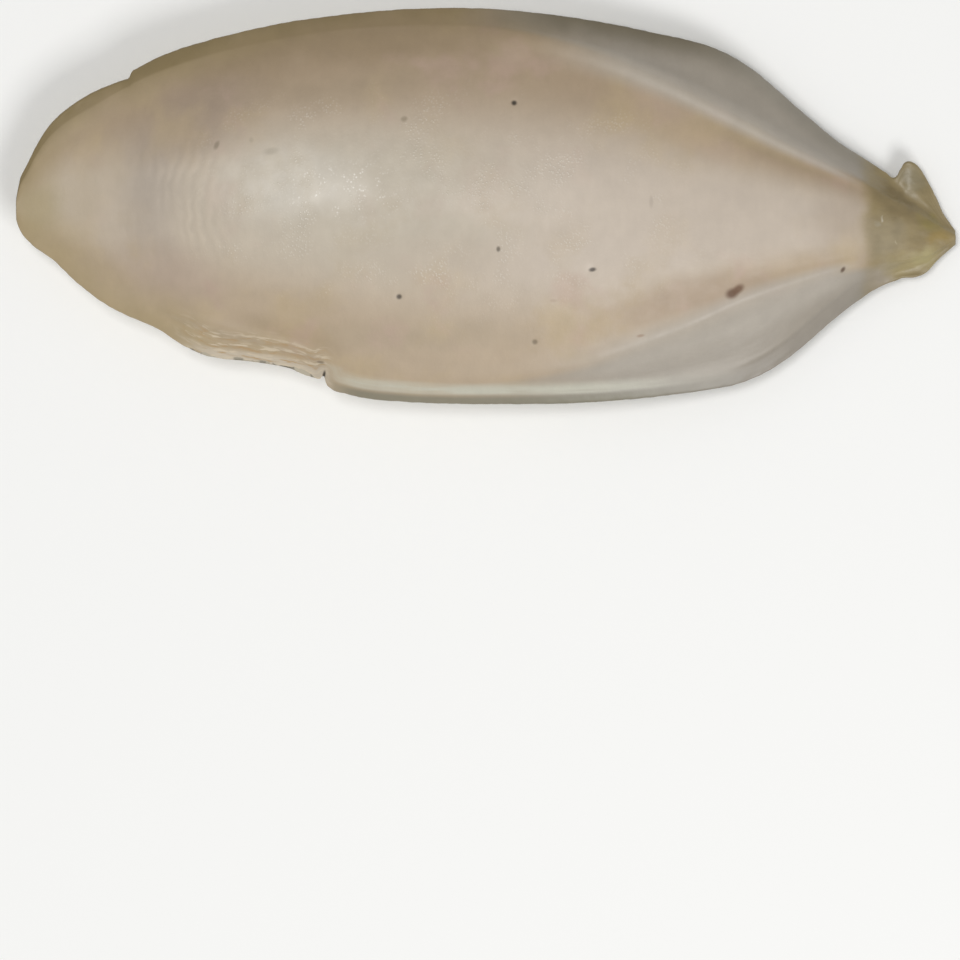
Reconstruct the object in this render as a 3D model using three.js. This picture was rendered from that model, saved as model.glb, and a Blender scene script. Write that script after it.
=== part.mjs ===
// A cuttlebone: the chalky inner shell of a cuttlefish, lying with its hard back up.
// Millimetres, +Z up. +X runs to the pointed tail, +Y to the side with the torn tail lobe.
// It is one grown piece, so it is one solid, skinned over cross-sections from front to tail.

import * as THREE from "three";
import { LoftGeometry } from "three/addons/geometries/LoftGeometry.js";
import { mergeVertices } from "three/addons/utils/BufferGeometryUtils.js";

// Driving dimensions.
const LENGTH = 150;
const HEIGHT = 19;
const FRONT_X = -LENGTH / 2;
const TAIL_X = LENGTH / 2;
const RIM_THICKNESS = 0.7;
const WING_ROOT_THICKNESS = 1.4;

// The plan outline before any damage, as [x, y] points down each side.
const NORTH_EDGE = [
  [FRONT_X, 1.2],
  [-74.5, 3.8],
  [-73.5, 6],
  [-70.5, 11.6],
  [-66, 16],
  [-57, 21],
  [-52, 23.6],
  [-41, 27],
  [-27, 29.7],
  [-6, 31.3],
  [10, 30.3],
  [26, 27.6],
  [37.5, 24.6],
  [43.5, 20.9],
  [50, 15.3],
  [56, 10.4],
  [62.5, 6.2],
  [67, 3.2],
  [TAIL_X, -3.9],
];
const SOUTH_EDGE = [
  [FRONT_X, -2],
  [-74.5, -3.4],
  [-73, -5.4],
  [-69.5, -8],
  [-65, -12.2],
  [-60, -15.8],
  [-52.5, -19.3],
  [-48.5, -22],
  [-45, -23.7],
  [-38, -24.7],
  [-31.5, -25.8],
  [-22, -29.8],
  [-14, -30.9],
  [2, -31.3],
  [18, -30.9],
  [34, -29.2],
  [41, -27.8],
  [47, -24.8],
  [56, -17.4],
  [62, -12.9],
  [66, -11.2],
  [70, -10.4],
  [72.5, -7.8],
  [TAIL_X, -5.7],
];

// Each side has one nick in its rim: steep on its tail side, and fading out towards the front.
const NORTH_NICK = { x: -57, depth: 1, steep: 0.5, fade: 4 };
const SOUTH_NICK = { x: -26, depth: 1.4, steep: 0.6, fade: 0.6 };

// How far the torn lobe beside the tail stands out of the north edge.
const LOBE_REACH = [
  [64.5, 0],
  [65.25, 0],
  [66.5, 3.1],
  [68.5, 4.7],
  [70, 4.2],
  [71.5, 2.8],
  [73.5, 0.6],
  [TAIL_X, 0],
];

// The line where the body meets the thin rim. Towards the tail the rim widens into a wing on each side,
// and the line becomes a raised ridge.
const NORTH_RIDGE = [
  [FRONT_X, 0.8],
  [-74.5, 2.9],
  [-73.5, 4.8],
  [-70.5, 9.9],
  [-61.5, 16.4],
  [-52, 21.2],
  [-27, 27.2],
  [-6, 28.4],
  [5, 27.4],
  [18, 24],
  [27.5, 20.1],
  [37, 15.3],
  [46.5, 10.3],
  [54.5, 6.5],
  [59.5, 4],
  [65, 1],
  [70, -1.8],
  [TAIL_X, -4.4],
];
const SOUTH_RIDGE = [
  [FRONT_X, -1.6],
  [-74.5, -2.6],
  [-69.5, -6.5],
  [-60, -13.4],
  [-50, -17.4],
  [-37, -21.4],
  [-25, -24.8],
  [-12, -27.4],
  [0, -27.8],
  [15, -25.3],
  [24.5, -22.1],
  [32.5, -18.9],
  [40.5, -15.1],
  [50, -11.8],
  [57, -9.9],
  [63, -9],
  [70, -7.8],
  [TAIL_X, -5.1],
];
const CREST_LINE = [
  [FRONT_X, 0.2],
  [-50, 0.8],
  [0, 0],
  [40, -0.8],
  [60, -2.4],
  [TAIL_X, -4.75],
];

// Heights above the surface it lies on: the rim's, and the back's along its crest.
const RIM_HEIGHT = [
  [FRONT_X, 8.2],
  [-60, 9.2],
  [-30, 10],
  [0, 9.8],
  [20, 8.6],
  [37.5, 6.4],
  [50, 4.8],
  [62, 3.6],
  [TAIL_X, 2.2],
];
const CREST_HEIGHT = [
  [FRONT_X, 8.9],
  [-70, 10],
  [-64, 11.2],
  [-58, 12.9],
  [-50, 15.5],
  [-40, 17.6],
  [-25, HEIGHT - 0.2],
  [-8, HEIGHT],
  [10, 18.4],
  [30, 16.2],
  [45, 13.4],
  [56, 10.6],
  [60.5, 9.2],
  [66, 6.6],
  [71, 4.4],
  [TAIL_X, 3],
];
const ARCH_POWER = 0.95;

// The chalk's depth below the back along the crest. It is deepest ahead of the middle, where the
// belly is flat and the bone rests, and only the shell is left at the tail.
const CHALK_DEPTH = [
  [FRONT_X, 0.8],
  [-70, 3.6],
  [-62, 8.4],
  [-50, 14.8],
  [-38, 18.3],
  [-15, 19.5],
  [5, 18.8],
  [20, 14.8],
  [35, 9.4],
  [45, 6.4],
  [55, 3.4],
  [61, 1.9],
  [TAIL_X, 0.9],
];
const CHALK_SIDE_POWER = 2.4;
const CHALK_ROUNDING = 0.75;

// Relief on the back, each as a height along the length.
const RIDGE_RISE = [
  [FRONT_X, 0],
  [-10, 0],
  [10, 0.15],
  [30, 0.3],
  [50, 0.4],
  [60, 0.3],
  [TAIL_X, 0],
];
const RIDGE_HALF_WIDTH = 1.7;
const WING_HOLLOW = [
  [FRONT_X, 0],
  [-5, 0.1],
  [20, 0.5],
  [40, 1.2],
  [54, 0.8],
  [62, 0.5],
  [68, 0.8],
  [TAIL_X, 0],
];
const GROOVE_DEPTH = [
  [FRONT_X, 0],
  [-40, 0.05],
  [0, 0.2],
  [30, 0.3],
  [55, 0.25],
  [63, 0.05],
  [TAIL_X, 0],
];
const GROOVE_PLACE = 0.8;
const GROOVE_HALF_WIDTH = 0.17;
const UNEVENNESS = 0.2;
const FLAKE_LEDGE = 0.7;
const FLAKE_FROM_X = -51;
const FLAKE_TO_X = -25;
const FLAKE_FADE = 3;
const LOBE_X = 68;
const LOBE_CURL = 1.1;
const LOBE_HALF_LENGTH = 2.4;

// Relief on the belly: a shallow furrow down the middle, and the horseshoe ridge near the tail.
const FURROW_DEPTH = [
  [FRONT_X, 0],
  [-20, 0],
  [0, 0.5],
  [25, 0.9],
  [45, 0.6],
  [56, 0],
  [TAIL_X, 0],
];
const FURROW_HALF_WIDTH = 3;
const HORSESHOE_HEIGHT = 0.8;
const HORSESHOE_FROM_X = 20;
const HORSESHOE_FULL_X = 34;
const HORSESHOE_BEND_X = 40;
const HORSESHOE_REACH = 17;
const HORSESHOE_PLACE = 0.88;
const HORSESHOE_HALF_WIDTH = 0.1;

// Cross-sections stand closer together at both ends, at the nicks and along the torn lobe: each run is
// [end x, spacing]. Across, rows follow the rim, the ridges and the crest.
const SECTION_RUNS = [
  [-74, 0.25],
  [-72, 0.7],
  [-66, 1.5],
  [-58, 2],
  [-56, 0.5],
  [-28, 3.5],
  [-25, 0.5],
  [37.5, 2.5],
  [60, 1.5],
  [65, 1],
  [70, 0.5],
  [TAIL_X, 1],
];
const WING_ROWS = [0, 0.12, 0.3, 0.55, 0.8];
const BODY_ROWS = [1, 0.9, 0.78, 0.62, 0.46, 0.3, 0.15];

const SHELL_COLOUR = 0xc4b8aa;
const SHELL_ROUGHNESS = 0.55;

const { clamp, lerp, smoothstep } = THREE.MathUtils;
const bell = (distance) => Math.exp(-distance * distance);

// A smooth curve through [x, value] points.
function curve(points) {
  const spline = new THREE.CubicInterpolant(points.map((p) => p[0]), points.map((p) => p[1]), 1);
  return (x) => spline.evaluate(x)[0];
}

const crestLine = curve(CREST_LINE);
const rimHeight = curve(RIM_HEIGHT);
const crestHeight = curve(CREST_HEIGHT);
const chalkDepth = curve(CHALK_DEPTH);
const ridgeRise = curve(RIDGE_RISE);
const wingHollow = curve(WING_HOLLOW);
const grooveDepth = curve(GROOVE_DEPTH);
const furrowDepth = curve(FURROW_DEPTH);
const lobeReach = curve(LOBE_REACH);
const southEdge = curve(SOUTH_EDGE);
const northEdge = curve(NORTH_EDGE);

function nickDepth(nick, x) {
  const ahead = nick.x - x;
  return nick.depth * (ahead > 0 ? Math.exp(-ahead / nick.fade) : Math.max(0, 1 + ahead / nick.steep));
}

// Each side of the bone: its whole edge, its rim as it is now, and its ridge.
const south = {
  edge: southEdge,
  rim: (x) => southEdge(x) + nickDepth(SOUTH_NICK, x),
  ridge: curve(SOUTH_RIDGE),
  flaked: true,
  torn: false,
};
const north = {
  edge: northEdge,
  rim: (x) => northEdge(x) - nickDepth(NORTH_NICK, x) + lobeReach(x),
  ridge: curve(NORTH_RIDGE),
  flaked: false,
  torn: true,
};

// A point of one side as shares: of the half width from the crest, of the wing from its edge to the ridge,
// and of the body from the crest to the ridge.
function placeOf(side, x, y) {
  const crest = crestLine(x);
  const edge = side.edge(x);
  const ridge = side.ridge(x);
  return {
    half: clamp((y - crest) / (edge - crest), 0, 1),
    wing: clamp((edge - y) / (edge - ridge), 0, 1),
    body: clamp((y - crest) / (ridge - crest), 0, 1),
    fromRidge: y - ridge,
  };
}

// The shell's own sheet: an arch from rim to rim, hollowed along the wings and curled up at the lobe.
function shellHeight(side, x, at) {
  const rim = rimHeight(x) + RIM_THICKNESS / 2;
  const arch = rim + (crestHeight(x) - rim) * (1 - at.half ** 2) ** ARCH_POWER;
  const hollow = wingHollow(x) * 4 * at.wing * (1 - at.wing);
  const curl = side.torn ? LOBE_CURL * bell((x - LOBE_X) / LOBE_HALF_LENGTH) * (1 - at.wing) : 0;
  return arch - hollow + curl;
}

// The back: the shell with its ridges, the grooves beside its broad middle rib, and the ledge where
// the top layer has flaked off the rim.
function backHeight(side, x, y) {
  const at = placeOf(side, x, y);
  const ridge = ridgeRise(x) * bell(at.fromRidge / RIDGE_HALF_WIDTH);
  const groove = grooveDepth(x) * bell((at.body - GROOVE_PLACE) / GROOVE_HALF_WIDTH);
  const swell = UNEVENNESS * Math.sin(x / 11 + 0.6) * Math.cos(y / 8 - 0.4) * (1 - at.half ** 2);
  const stretch = smoothstep(x, FLAKE_FROM_X, FLAKE_FROM_X + FLAKE_FADE)
    * (1 - smoothstep(x, FLAKE_TO_X - FLAKE_FADE, FLAKE_TO_X));
  const ledge = side.flaked ? FLAKE_LEDGE * stretch * (1 - smoothstep(at.wing, WING_ROWS.at(-1), 1)) : 0;
  return shellHeight(side, x, at) + ridge - groove + swell - ledge;
}

// The belly: thin under the wings, deep chalk under the body, and flat where it would go below the surface.
function bellyHeight(side, x, y) {
  const at = placeOf(side, x, y);
  const chalk = (1 - at.body ** CHALK_SIDE_POWER) ** CHALK_ROUNDING;
  const wing = lerp(RIM_THICKNESS, Math.min(WING_ROOT_THICKNESS, chalkDepth(x)), at.wing);
  const depth = wing + (chalkDepth(x) - wing) * chalk;
  const furrow = furrowDepth(x) * bell((y - crestLine(x)) / FURROW_HALF_WIDTH);
  const round = Math.hypot(Math.max(0, x - HORSESHOE_BEND_X) / HORSESHOE_REACH, at.body);
  const horseshoe = HORSESHOE_HEIGHT * bell((round - HORSESHOE_PLACE) / HORSESHOE_HALF_WIDTH)
    * smoothstep(x, HORSESHOE_FROM_X, HORSESHOE_FULL_X) * at.wing;
  return Math.max(0, shellHeight(side, x, at) - depth + furrow - horseshoe);
}

// The places of the rows across one section, from the south rim to the north rim.
function rowsAcross(x) {
  const crest = crestLine(x);
  const half = (side) => [
    ...WING_ROWS.map((share) => lerp(side.rim(x), side.ridge(x), share)),
    ...BODY_ROWS.map((share) => lerp(crest, side.ridge(x), share)),
  ];
  return [
    ...half(south).map((y) => [south, y]),
    [north, crest],
    ...half(north).reverse().map((y) => [north, y]),
  ];
}

// One closed section: along the belly from south to north, then back over the top.
function section(x) {
  const rows = rowsAcross(x);
  const belly = rows.map(([side, y]) => new THREE.Vector3(x, y, bellyHeight(side, x, y)));
  const back = rows.map(([side, y]) => new THREE.Vector3(x, y, backHeight(side, x, y)));
  return [...belly, ...back.reverse()];
}

function sectionPlaces() {
  const places = [FRONT_X];
  for (const [end, spacing] of SECTION_RUNS) {
    const start = places.at(-1);
    const steps = Math.round((end - start) / spacing);
    for (let step = 1; step <= steps; step += 1) places.push(lerp(start, end, step / steps));
  }
  return places;
}

// The solid, with its origin on the surface it lies on, under the middle of its box.
function boneGeometry() {
  const loft = new LoftGeometry(sectionPlaces().map(section), { capStart: true, capEnd: true });
  const skin = new THREE.BufferGeometry();
  skin.setIndex(loft.getIndex());
  skin.setAttribute("position", loft.getAttribute("position"));
  const solid = mergeVertices(skin);
  solid.computeBoundingBox();
  const middle = solid.boundingBox.getCenter(new THREE.Vector3());
  solid.translate(-middle.x, -middle.y, -solid.boundingBox.min.z);
  solid.computeVertexNormals();
  return solid;
}

const bone = new THREE.Mesh(
  boneGeometry(),
  new THREE.MeshStandardMaterial({ color: SHELL_COLOUR, roughness: SHELL_ROUGHNESS, metalness: 0 }),
);
bone.name = "cuttlebone";

const part = new THREE.Group();
part.add(bone);

export default part;
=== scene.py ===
"""A cuttlebone lying on its belly with its hard back up, on a pale studio floor.

The solid in the frame gives the form. Its cross-sections are skinned again as a fine mesh, a Geometry
Nodes tree adds the low relief, and two materials finish the back and the belly.
Lengths are millimetres, with +X to the pointed tail and +Y to the north side, which has the torn tail
lobe. Blender gets metres.
"""

from collections import namedtuple
from functools import partial

import bpy
import numpy as np
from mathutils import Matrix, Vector


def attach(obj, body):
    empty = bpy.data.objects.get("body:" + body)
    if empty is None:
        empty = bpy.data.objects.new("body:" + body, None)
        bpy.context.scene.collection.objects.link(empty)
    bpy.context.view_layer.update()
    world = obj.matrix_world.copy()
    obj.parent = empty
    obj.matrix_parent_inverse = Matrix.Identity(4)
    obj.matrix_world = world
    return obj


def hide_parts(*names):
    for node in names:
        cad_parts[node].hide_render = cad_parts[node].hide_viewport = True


MM = 0.001

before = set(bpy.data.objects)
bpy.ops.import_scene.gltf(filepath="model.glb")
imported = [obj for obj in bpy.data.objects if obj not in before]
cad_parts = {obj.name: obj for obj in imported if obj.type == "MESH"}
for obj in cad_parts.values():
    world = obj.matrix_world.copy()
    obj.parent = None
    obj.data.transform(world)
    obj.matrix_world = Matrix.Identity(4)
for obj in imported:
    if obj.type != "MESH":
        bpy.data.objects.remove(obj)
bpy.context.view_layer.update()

# The photograph's frame: its side in pixels, its scale, and the place under its middle.
PHOTO_SIDE_PX = 960
PHOTO_PX_PER_MM = 6.28
PHOTO_MIDDLE = (-1.1, -43.6)
RIM_LEVEL = 9.0
CAMERA_LENS_MM = 300.0
CAMERA_SENSOR_MM = 36.0

# Rows of the solid's cross-sections, counted from the south rim.
SOUTH_RIDGE_ROW = 5
CREST_ROW = 12
NORTH_RIDGE_ROW = 19

# The fine skin: columns along the bone, and points round each column.
COLUMNS = 400
BACK_ROWS = 170
BELLY_ROWS = 60
RIM_STEPS = 3
RIM_BULGE = 0.35
COLUMN_CROWDING = 0.15

# The low relief, as named inputs of its tree: sizes and heights in millimetres.
RELIEF = {
    "Growth Line Spacing": 1.9,
    "Growth Line Height": 0.014,
    "Flake Width": 1.2,
    "Flake Height": 0.1,
    "Wing Streak Length": 11.0,
    "Wing Streak Width": 1.3,
    "Wing Streak Height": 0.1,
    "Wing Strip Width": 2.3,
    "Wing Strip Drop": 0.16,
    "Tail Crease Size": 1.8,
    "Tail Crease Height": 0.4,
    "Hump Size": 9.0,
    "Hump Height": 0.14,
    "Rim Chip Size": 1.6,
    "Rim Chip Depth": 0.3,
    "Pit Depth": 0.14,
    "Belly Line Spacing": 1.1,
    "Belly Line Depth": 0.045,
    "Seed": 11.0,
}

# Tints of the back, from its chalk to its horny margins, and how strongly each is laid on.
Tint = namedtuple("Tint", "colour strength")
CREAM = "#beb09d"
NORTH_TAN = Tint("#a48f75", 0.9)
SOUTH_TAN = Tint("#b09d84", 0.9)
RIB_CREAM = Tint("#c0b3a4", 0.85)
FRONT_STAIN = Tint("#a4926d", 0.75)
NORTH_STAIN = Tint("#7b6a43", 0.8)
NORTH_BAND = Tint("#7f6c49", 0.4)
WING_STAIN = Tint("#655c47", 0.85)
WING_GREY = Tint("#9c9488", 0.95)
WING_EDGE = Tint("#898377", 0.8)
STRIP_GREY = Tint("#938b80", 0.7)
NORTH_RIDGE_PALE = Tint("#b2aca1", 0.7)
SOUTH_RIDGE_PALE = Tint("#b2aa9e", 0.8)
GROOVE_OLIVE = Tint("#9b8b6c", 0.4)
LIP_PALE = Tint("#bfbdad", 0.9)
LIP_EDGE = Tint("#807b69", 0.9)
FLAKE_PALE = Tint("#ccbda4", 0.9)
FLAKE_ORANGE = Tint("#ad9069", 0.85)
FLAKE_LIP = Tint("#c5baa8", 0.8)
TAIL_OLIVE = Tint("#8b7b54", 0.9)
# Painted highlights: pale tops on the granules, and white glints on some of them.
GRANULE_TOP_HIGHLIGHT = Tint("#d9d2c5", 0.4)
GLINT_WHITE = Tint("#f4efe6", 0.75)
YELLOW_DRIFT = Tint("#b6a27e", 0.55)
PINK_DRIFT = Tint("#b79d8e", 0.5)

# Tints of the belly.
BELLY_CHALK = "#e4ddcf"
CHAMBER_CREAM = Tint("#dcd1bd", 0.7)
LAYER_SHADE = Tint("#c6bba9", 1.0)
BELLY_HORN = Tint("#a59c88", 0.8)
BELLY_TAIL = Tint("#8b7b54", 0.85)

# Dirty pits and small flat stains on the back, with the way they lie.
Speck = namedtuple("Speck", "x y half_length half_width turn colour strength")
PITS = (
    Speck(4.3, 16.1, 0.65, 0.6, 0, "#30281c", 0.95),
    Speck(-13.9, -14.6, 0.65, 0.6, 0, "#3d3325", 0.9),
    Speck(16.7, -10.3, 0.85, 0.5, 10, "#392e21", 0.9),
    Speck(1.8, -7.1, 0.48, 0.65, 0, "#524735", 0.8),
    Speck(56.7, -10.1, 0.8, 0.45, 55, "#553f2a", 0.85),
    Speck(7.6, -21.7, 0.65, 0.6, 0, "#655740", 0.7),
    Speck(-25.9, -26.9, 0.35, 1.0, -12, "#352d22", 0.95),
)
STAINS = (
    Speck(38.9, -14.0, 1.5, 1.15, 20, "#5c3a1a", 0.9),
    Speck(39.9, -13.3, 1.5, 0.95, 35, "#623f1e", 0.85),
    Speck(24.4, -20.7, 0.9, 0.35, 10, "#876349", 0.5),
    Speck(10.5, -15.2, 0.8, 0.4, 0, "#9a8169", 0.35),
    Speck(-42.8, 9.4, 0.55, 1.1, -25, "#80735f", 0.7),
    Speck(-37.3, 10.2, 0.5, 0.6, 0, "#9a8f7c", 0.4),
    Speck(-34.2, 8.4, 1.8, 0.8, 10, "#9b917f", 0.45),
    Speck(-13.1, 13.5, 0.8, 0.65, 20, "#7d6f57", 0.55),
    Speck(26.0, 0.4, 0.5, 1.4, 0, "#a79a8c", 0.45),
    Speck(-26.4, -24.9, 0.9, 0.3, -8, "#6a5a45", 0.7),
)

# Broad soft patches of tint on the back, painted in this order.
Patch = namedtuple("Patch", "x y half_length half_width turn core colour strength")
BODY_PATCHES = (
    Patch(-46.0, 13.5, 16.0, 8.0, 25, 0.2, "#988676", 0.65),
    Patch(-50.0, -10.0, 14.0, 7.0, -20, 0.1, "#ae9c8d", 0.6),
    Patch(-53.0, 1.0, 9.0, 13.5, 0, 0.1, "#a59a8f", 0.55),
    Patch(-66.5, 0.5, 7.0, 8.0, 0, 0.2, "#b5a68f", 0.75),
    Patch(-71.5, -0.5, 5.5, 7.0, 0, 0.2, "#a09267", 0.5),
    Patch(-19.0, 1.0, 36.0, 17.0, 0, 0.3, "#b7ad9b", 0.85),
    # This patch and the next are painted highlight: a pale glow on the front of the back, round where the
    # overhead light's glint falls.
    Patch(-31.0, 3.5, 17.0, 8.5, 0, 0.1, "#c9c2b5", 0.75),
    Patch(-24.0, 2.0, 9.0, 4.5, 0, 0.1, "#d2cabc", 0.5),
    Patch(10.0, 0.0, 30.0, 5.5, -2, 0.1, "#c6b9a9", 0.6),
    Patch(2.5, 23.8, 4.5, 2.2, 5, 0.1, "#b9a98c", 0.5),
    Patch(31.0, 12.5, 15.0, 4.5, -24, 0.2, "#b5a08b", 0.7),
    Patch(33.0, -14.5, 18.0, 4.5, 14, 0.2, "#a28d77", 0.65),
    Patch(-10.0, -20.5, 24.0, 3.5, 0, 0.2, "#a6967e", 0.45),
    Patch(-31.5, -20.5, 12.0, 3.0, -15, 0.2, "#9d8a6f", 0.55),
    Patch(-20.0, 19.0, 30.0, 4.0, 8, 0.1, "#9c8b72", 0.35),
    Patch(-6.0, -8.5, 17.0, 5.5, 0, 0.1, "#b4a694", 0.4),
    Patch(57.0, -3.0, 8.0, 9.0, 0, 0.1, "#ad9e8d", 0.7),
)
TAIL_PATCHES = (
    Patch(63.6, -5.0, 5.0, 5.2, 0, 0.3, "#978a6e", 0.85),
    Patch(62.2, -11.2, 5.0, 2.8, 25, 0.2, "#9a9082", 0.75),
    Patch(67.5, -9.0, 6.5, 2.4, 10, 0.1, "#a19369", 0.8),
    Patch(70.0, -8.0, 3.6, 2.2, 20, 0.1, "#aba071", 0.75),
    # Painted shade: a darker strip over the olive horn of the tail's north slope.
    Patch(65.2, 0.8, 8.0, 3.1, -31, 0.3, "#7e6f4e", 0.9),
    Patch(70.8, -2.6, 3.0, 1.8, -40, 0.2, "#867945", 0.7),
    Patch(68.0, 4.6, 2.6, 3.0, 0, 0.3, "#867c62", 0.8),
    Patch(72.0, -5.0, 3.4, 1.7, 0, 0.2, "#937d45", 0.75),
    # A pale fleck in the horn with a painted glint on it.
    Patch(63.3, -1.8, 0.35, 0.75, -12, 0.1, "#cbc3b0", 0.6),
    Patch(65.4, -6.0, 0.3, 0.8, 30, 0.1, "#b8ad93", 0.5),
    Patch(62.3, -2.6, 1.0, 0.9, 0, 0.1, "#a79e8a", 0.5),
)

# Node kinds, settings that many nodes share, and places of a node's inputs.
MATH = "ShaderNodeMath"
VECTOR = "ShaderNodeVectorMath"
RANGE = "ShaderNodeMapRange"
NOISE = "ShaderNodeTexNoise"
MIX = "ShaderNodeMix"
SMOOTH = {"interpolation_type": "SMOOTHSTEP"}
COLOUR_MIX = {"data_type": "RGBA", "out": 2}
FACTOR, BELOW, ABOVE = 0, 6, 7
START, FULL, LOW, HIGH = 1, 2, 3, 4


def linear(colour):
    """An sRGB hex colour as linear RGBA."""
    shares = [int(colour[i : i + 2], 16) / 255 for i in (1, 3, 5)]
    return (*[s / 12.92 if s <= 0.04045 else ((s + 0.055) / 1.055) ** 2.4 for s in shares], 1.0)


def add_node(tree, kind, inputs=None, out=0, **settings):
    """Adds a node with its settings, sets or links its inputs by place or name, and gives one output."""
    node = tree.nodes.new(kind)
    for name, value in settings.items():
        setattr(node, name, value)
    for key, value in (inputs or {}).items():
        if isinstance(value, bpy.types.NodeSocket):
            tree.links.new(value, node.inputs[key])
        else:
            node.inputs[key].default_value = value
    return node.outputs[out]


# The form


def solid_sections(node):
    """The solid's sections: their x, and y, back height and belly height of each section's rows."""
    corners = np.array([corner.co for corner in node.data.vertices]) / MM
    corners = np.unique(np.round(corners, 3), axis=0)
    section_x = np.unique(corners[:, 0])
    rows = []
    for x in section_x:
        section = corners[corners[:, 0] == x]
        row_y = np.unique(section[:, 1])
        heights = [section[section[:, 1] == y, 2] for y in row_y]
        rows.append((row_y, [h.max() for h in heights], [h.min() for h in heights]))
    return section_x, *(np.array(field) for field in zip(*rows))


def through(knots, values, places):
    """A smooth curve through values at knots, read at new places: cubic pieces that share their slopes."""
    slopes = np.gradient(values, knots, axis=0)
    left = np.clip(np.searchsorted(knots, places, side="right") - 1, 0, len(knots) - 2)
    span = knots[left + 1] - knots[left]
    share = (places - knots[left]) / span
    if values.ndim > 1:
        span = span[:, None]
        share = share[:, None]
    rest = 1 - share
    return (
        (1 + 2 * share) * rest**2 * values[left]
        + share * rest**2 * span * slopes[left]
        + share**2 * (3 - 2 * share) * values[left + 1]
        - share**2 * rest * span * slopes[left + 1]
    )


def column_places(section_x):
    """Column places: even along the bone, and a little closer where the solid's sections crowd."""
    even = (section_x - section_x[0]) / (section_x[-1] - section_x[0])
    crowded = np.linspace(0, 1, len(section_x))
    share = even * (1 - COLUMN_CROWDING) + crowded * COLUMN_CROWDING
    return np.interp(np.linspace(0, 1, COLUMNS), share, section_x)


def rim_round(y, start_z, end_z, side):
    """Points that round the rim's edge between its two faces."""
    turn = np.pi * np.arange(1, RIM_STEPS + 1) / (RIM_STEPS + 1)
    half = (start_z - end_z) / 2
    bulge = RIM_BULGE * abs(2 * half)
    return y + side * bulge * np.sin(turn), (start_z + end_z) / 2 + half * np.cos(turn)


def bone_skin(node):
    """The fine closed skin of the solid, with three fields at its points: across runs from -2 at the south
    rim by -1, 0 and 1 at the ridges and the crest to 2 at the north rim, rim is the distance from the rim,
    and belly is 0 on the back and 1 on the belly."""
    section_x, section_y, section_back, section_belly = solid_sections(node)
    column_x = column_places(section_x)
    rows_y = through(section_x, section_y, column_x)
    rows_back = through(section_x, section_back, column_x)
    rows_belly = through(section_x, section_belly, column_x)
    outline = np.column_stack([np.tile(column_x, 2), np.concatenate([rows_y[:, 0], rows_y[:, -1]])])
    lines = [0, SOUTH_RIDGE_ROW, CREST_ROW, NORTH_RIDGE_ROW, -1]
    belly_share = np.concatenate([
        np.zeros(BACK_ROWS),
        np.linspace(0, 1, RIM_STEPS + 2)[1:-1],
        np.ones(BELLY_ROWS),
        np.linspace(1, 0, RIM_STEPS + 2)[1:-1],
    ])
    points, across, rim = [], [], []
    for column, x in enumerate(column_x):
        y, back, belly = rows_y[column], rows_back[column], rows_belly[column]
        back_y = np.linspace(y[0], y[-1], BACK_ROWS)
        belly_y = back_y[-1] + (back_y[0] - back_y[-1]) * np.linspace(0, 1, BELLY_ROWS)
        north_y, north_z = rim_round(y[-1], back[-1], belly[-1], 1)
        south_y, south_z = rim_round(y[0], belly[0], back[0], -1)
        ring_y = np.concatenate([back_y, north_y, belly_y, south_y])
        ring_z = np.concatenate([through(y, back, back_y), north_z, through(y, belly, belly_y), south_z])
        points.append(np.column_stack([np.full(len(ring_y), x), ring_y, np.maximum(ring_z, 0)]))
        across.append(np.interp(ring_y, y[lines], [-2, -1, 0, 1, 2]))
        away = np.hypot(outline[:, 0, None] - x, outline[:, 1, None] - ring_y).min(axis=0)
        rim.append(np.minimum(away, min(x - column_x[0], column_x[-1] - x)))

    ring = len(belly_share)
    index = np.arange(COLUMNS * ring).reshape(COLUMNS, ring)
    beside = np.roll(index, -1, axis=1)
    quads = np.stack([index[:-1], index[1:], beside[1:], beside[:-1]], axis=-1).reshape(-1, 4)
    ends = [index[0].tolist(), index[-1][::-1].tolist()]
    mesh = bpy.data.meshes.new("cuttlebone_skin")
    mesh.from_pydata(np.concatenate(points) * MM, [], quads.tolist() + ends)
    mesh.polygons.foreach_set("use_smooth", [True] * len(mesh.polygons))
    fields = {
        "across": np.concatenate(across),
        "rim": np.concatenate(rim),
        "belly": np.tile(belly_share, COLUMNS),
    }
    for name, values in fields.items():
        mesh.attributes.new(name, "FLOAT", "POINT").data.foreach_set("value", values.astype(np.float32))
    return mesh


# Patterns that the relief and the materials share

Skin = namedtuple("Skin", "add seed place plan x y across outward rim back belly")

# Braces hold a rise from 0 at START to 1 at FULL, or from LOW to HIGH where these are given. Four numbers
# hold a stretch: its start, full, fade and end. A run goes along x, a side or band goes across, and a depth
# goes in from the rim. Two numbers hold the width and reach of clouds, or the length and width of streaks.
GROWTH_MIDDLE = (-26.0, 0.5)
GROWTH_FLATTENING = 0.9
GROWTH_SWAY = (9.0, 2.2)
GROWTH_WAVER = (3.0, 1.1)
GROWTH_RUN = (-60.0, -52.0, -45.0, -36.0)
GROWTH_BAND = {START: 0.7, FULL: 0.3}
GROWTH_BREAK_SIZE = 4.0
GROWTH_BREAKS = {START: 0.35, FULL: 0.65}
FLAKE_RAGGED = (3.0, 2.0)
FLAKE_DRAWN_OUT = (0.3, 1, 1)
FLAKE_SIDE = {START: -0.78, FULL: -0.95}
FLAKE_DEPTH = {START: 5.5, FULL: 3.0}
FLAKE_RUN = (-51.0, -43.0, -27.0, -23.8)
WING_SIDE = {START: 0.98, FULL: 1.25}
WING_RUN = {START: -8.0, FULL: 24.0}
STRIP_CREASE = {START: -0.35, FULL: 0.35}
STRIP_SIDE = {START: -1.1, FULL: -1.3}
STRIP_RUN = (36.0, 46.0, 56.0, 61.0)
BELLY_LINE_BOW = 7.0
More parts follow.
